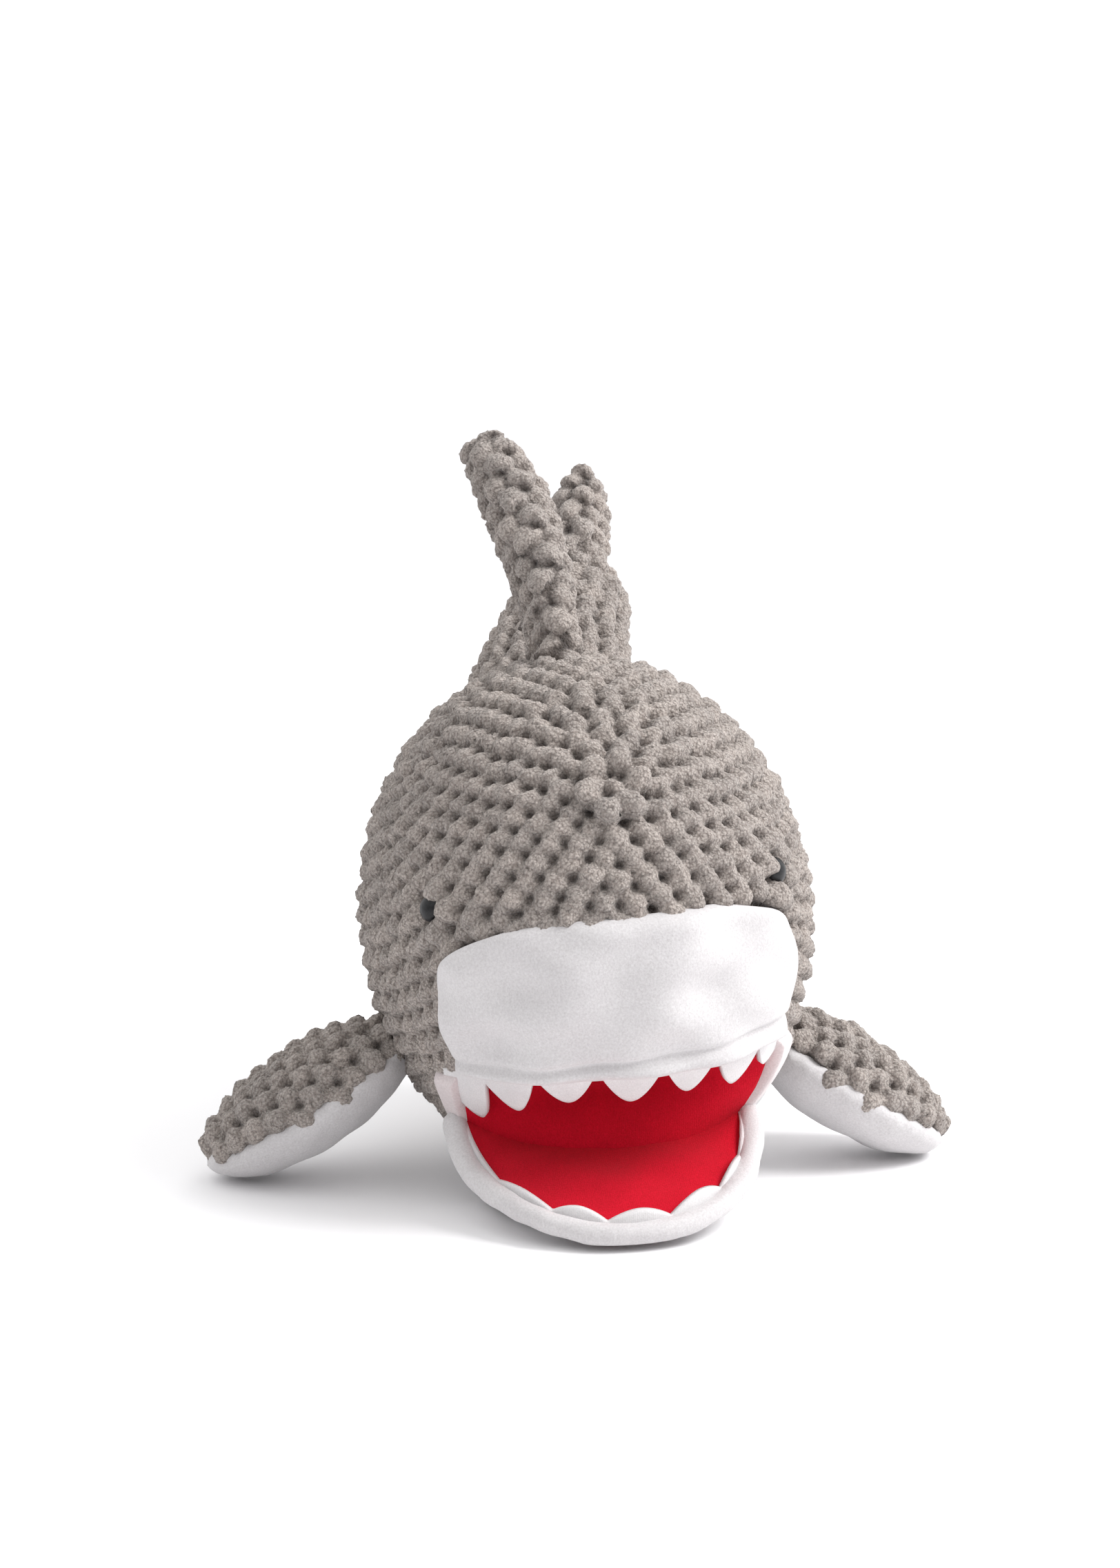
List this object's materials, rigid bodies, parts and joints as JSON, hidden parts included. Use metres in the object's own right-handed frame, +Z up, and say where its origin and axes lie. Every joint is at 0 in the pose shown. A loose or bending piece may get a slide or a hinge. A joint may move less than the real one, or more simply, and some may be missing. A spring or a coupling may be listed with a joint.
{
  "type": "crocheted plush shark",
  "caption": "Stuffed crocheted shark that sits on its belly, with a felt-lined mouth that opens and fins and tail that flex on their seams.",
  "frame": {"origin": "on the flat resting face of the belly, under the middle of the head and body", "axes": "+Z up, -Y out of the nose, +X towards the shark's own left pectoral fin"},
  "size_m": [0.3006, 0.3357, 0.2758],
  "materials": {
    "crochet_yarn": "crocheted taupe grey chenille yarn",
    "white_fleece": "soft white fleece",
    "white_felt": "matte white felt",
    "red_felt": "matte red felt",
    "black_bead": "glossy black",
    "washer_plastic": "plain moulded",
    "polyester_filling": "loose white fibre"
  },
  "bodies": {
    "torso": {"body_cover": "crochet_yarn", "body_stuffing": "polyester_filling", "snout_panel": "white_fleece", "left_cheek_panel": "white_fleece", "right_cheek_panel": "white_fleece", "belly_panel": "white_fleece", "upper_mouth_lining": "red_felt", "upper_teeth": "white_felt", "left_eye": "black_bead", "right_eye": "black_bead", "left_eye_washer": "washer_plastic", "right_eye_washer": "washer_plastic"},
    "lower_jaw": {"jaw_cover": "white_fleece", "jaw_stuffing": "polyester_filling", "lower_mouth_lining": "red_felt", "lower_teeth": "white_felt"},
    "left_pectoral_fin": {"left_pectoral_fin_top": "crochet_yarn", "left_pectoral_fin_underside": "white_fleece", "left_pectoral_fin_stuffing": "polyester_filling"},
    "right_pectoral_fin": {"right_pectoral_fin_top": "crochet_yarn", "right_pectoral_fin_underside": "white_fleece", "right_pectoral_fin_stuffing": "polyester_filling"},
    "dorsal_fin": {"dorsal_fin_cover": "crochet_yarn", "dorsal_fin_stuffing": "polyester_filling"},
    "tail_stem": {"tail_stem_cover": "crochet_yarn", "tail_stem_stuffing": "polyester_filling"},
    "tail_fin": {"tail_fin_upper_lobe_cover": "crochet_yarn", "tail_fin_upper_lobe_stuffing": "polyester_filling", "tail_fin_lower_lobe_cover": "crochet_yarn", "tail_fin_lower_lobe_stuffing": "polyester_filling"}
  },
  "joints": [
    {"name": "jaw_hinge", "type": "hinge", "parent": "torso", "child": "lower_jaw", "pos_m": [0, -0.05, 0.027], "axis": [-1, 0, 0], "range_deg": [0, 24], "stiffness_Nm_per_rad": 0.15},
    {"name": "left_pectoral_seam", "type": "hinge", "parent": "torso", "child": "left_pectoral_fin", "pos_m": [0.082, -0.008, 0.057], "axis": [0, -1, 0], "range_deg": [0, 45], "stiffness_Nm_per_rad": 0.3},
    {"name": "right_pectoral_seam", "type": "hinge", "parent": "torso", "child": "right_pectoral_fin", "pos_m": [-0.082, -0.008, 0.057], "axis": [0, 1, 0], "range_deg": [0, 45], "stiffness_Nm_per_rad": 0.3},
    {"name": "dorsal_seam", "type": "hinge", "parent": "torso", "child": "dorsal_fin", "pos_m": [-0.00841, 0.022, 0.19213], "axis": [0.0211, 0.9703, -0.241], "range_deg": [-20, 20], "stiffness_Nm_per_rad": 0.3},
    {"name": "tail_sway", "type": "hinge", "parent": "torso", "child": "tail_stem", "pos_m": [-0.00305, 0.105, 0.13087], "axis": [0, -0.5736, 0.8192], "range_deg": [-12, 12], "stiffness_Nm_per_rad": 1},
    {"name": "tail_fin_sway", "type": "hinge", "parent": "tail_stem", "child": "tail_fin", "pos_m": [0.013, 0.156, 0.203], "axis": [-0.2367, -0.7286, 0.6428], "range_deg": [-15, 15], "stiffness_Nm_per_rad": 0.4}
  ]
}
